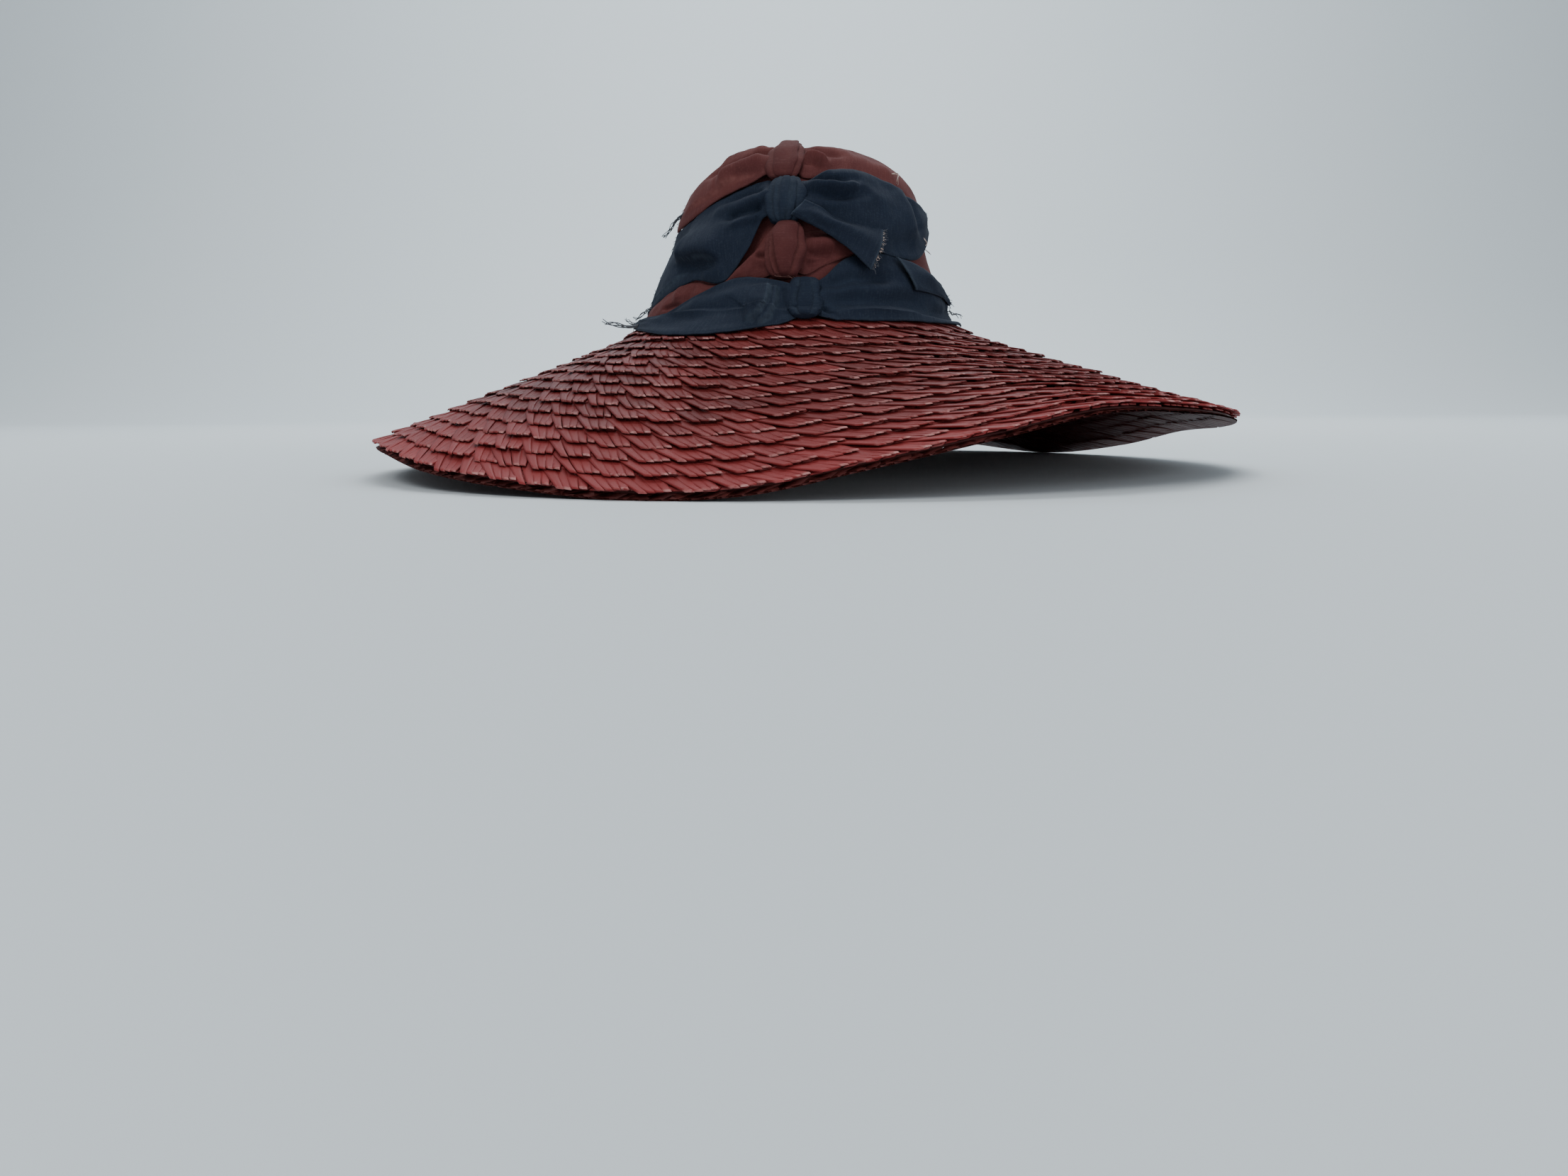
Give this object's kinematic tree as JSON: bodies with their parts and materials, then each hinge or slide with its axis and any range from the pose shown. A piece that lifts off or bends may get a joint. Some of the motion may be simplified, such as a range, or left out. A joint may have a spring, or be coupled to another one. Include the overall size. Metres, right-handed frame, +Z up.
{
  "type": "wide-brimmed straw hat with stacked bows",
  "caption": "Wide wavy brim of plaited red straw under a domed crepe crown, with rust and navy crepe bows tied one above another up the front",
  "frame": {"origin": "under the crown, on the surface that the brim's low places rest on, at the middle of the hat's plan", "axes": "+Z up out of the crown's top, -Y towards the front with the bows, +X towards the wearer's left, which is the right as the front is seen"},
  "size_m": [0.4364, 0.4429, 0.162],
  "materials": {
    "straw": "dyed plaited straw with a soft sheen",
    "rust_crepe": "matt crinkled crepe",
    "navy_crepe": "matt crinkled crepe"
  },
  "bodies": {
    "root": {"brim": "straw", "crown": "rust_crepe", "middle_bow_left": "rust_crepe", "middle_bow_right": "rust_crepe", "middle_bow_knot": "rust_crepe", "top_bow_left": "rust_crepe", "top_bow_right": "rust_crepe", "top_bow_knot": "rust_crepe", "lower_bow_left": "navy_crepe", "lower_bow_right": "navy_crepe", "lower_bow_tail": "navy_crepe", "lower_bow_knot": "navy_crepe", "upper_bow_left": "navy_crepe", "upper_bow_right": "navy_crepe", "upper_bow_tail": "navy_crepe", "upper_bow_knot": "navy_crepe"}
  },
  "joints": []
}
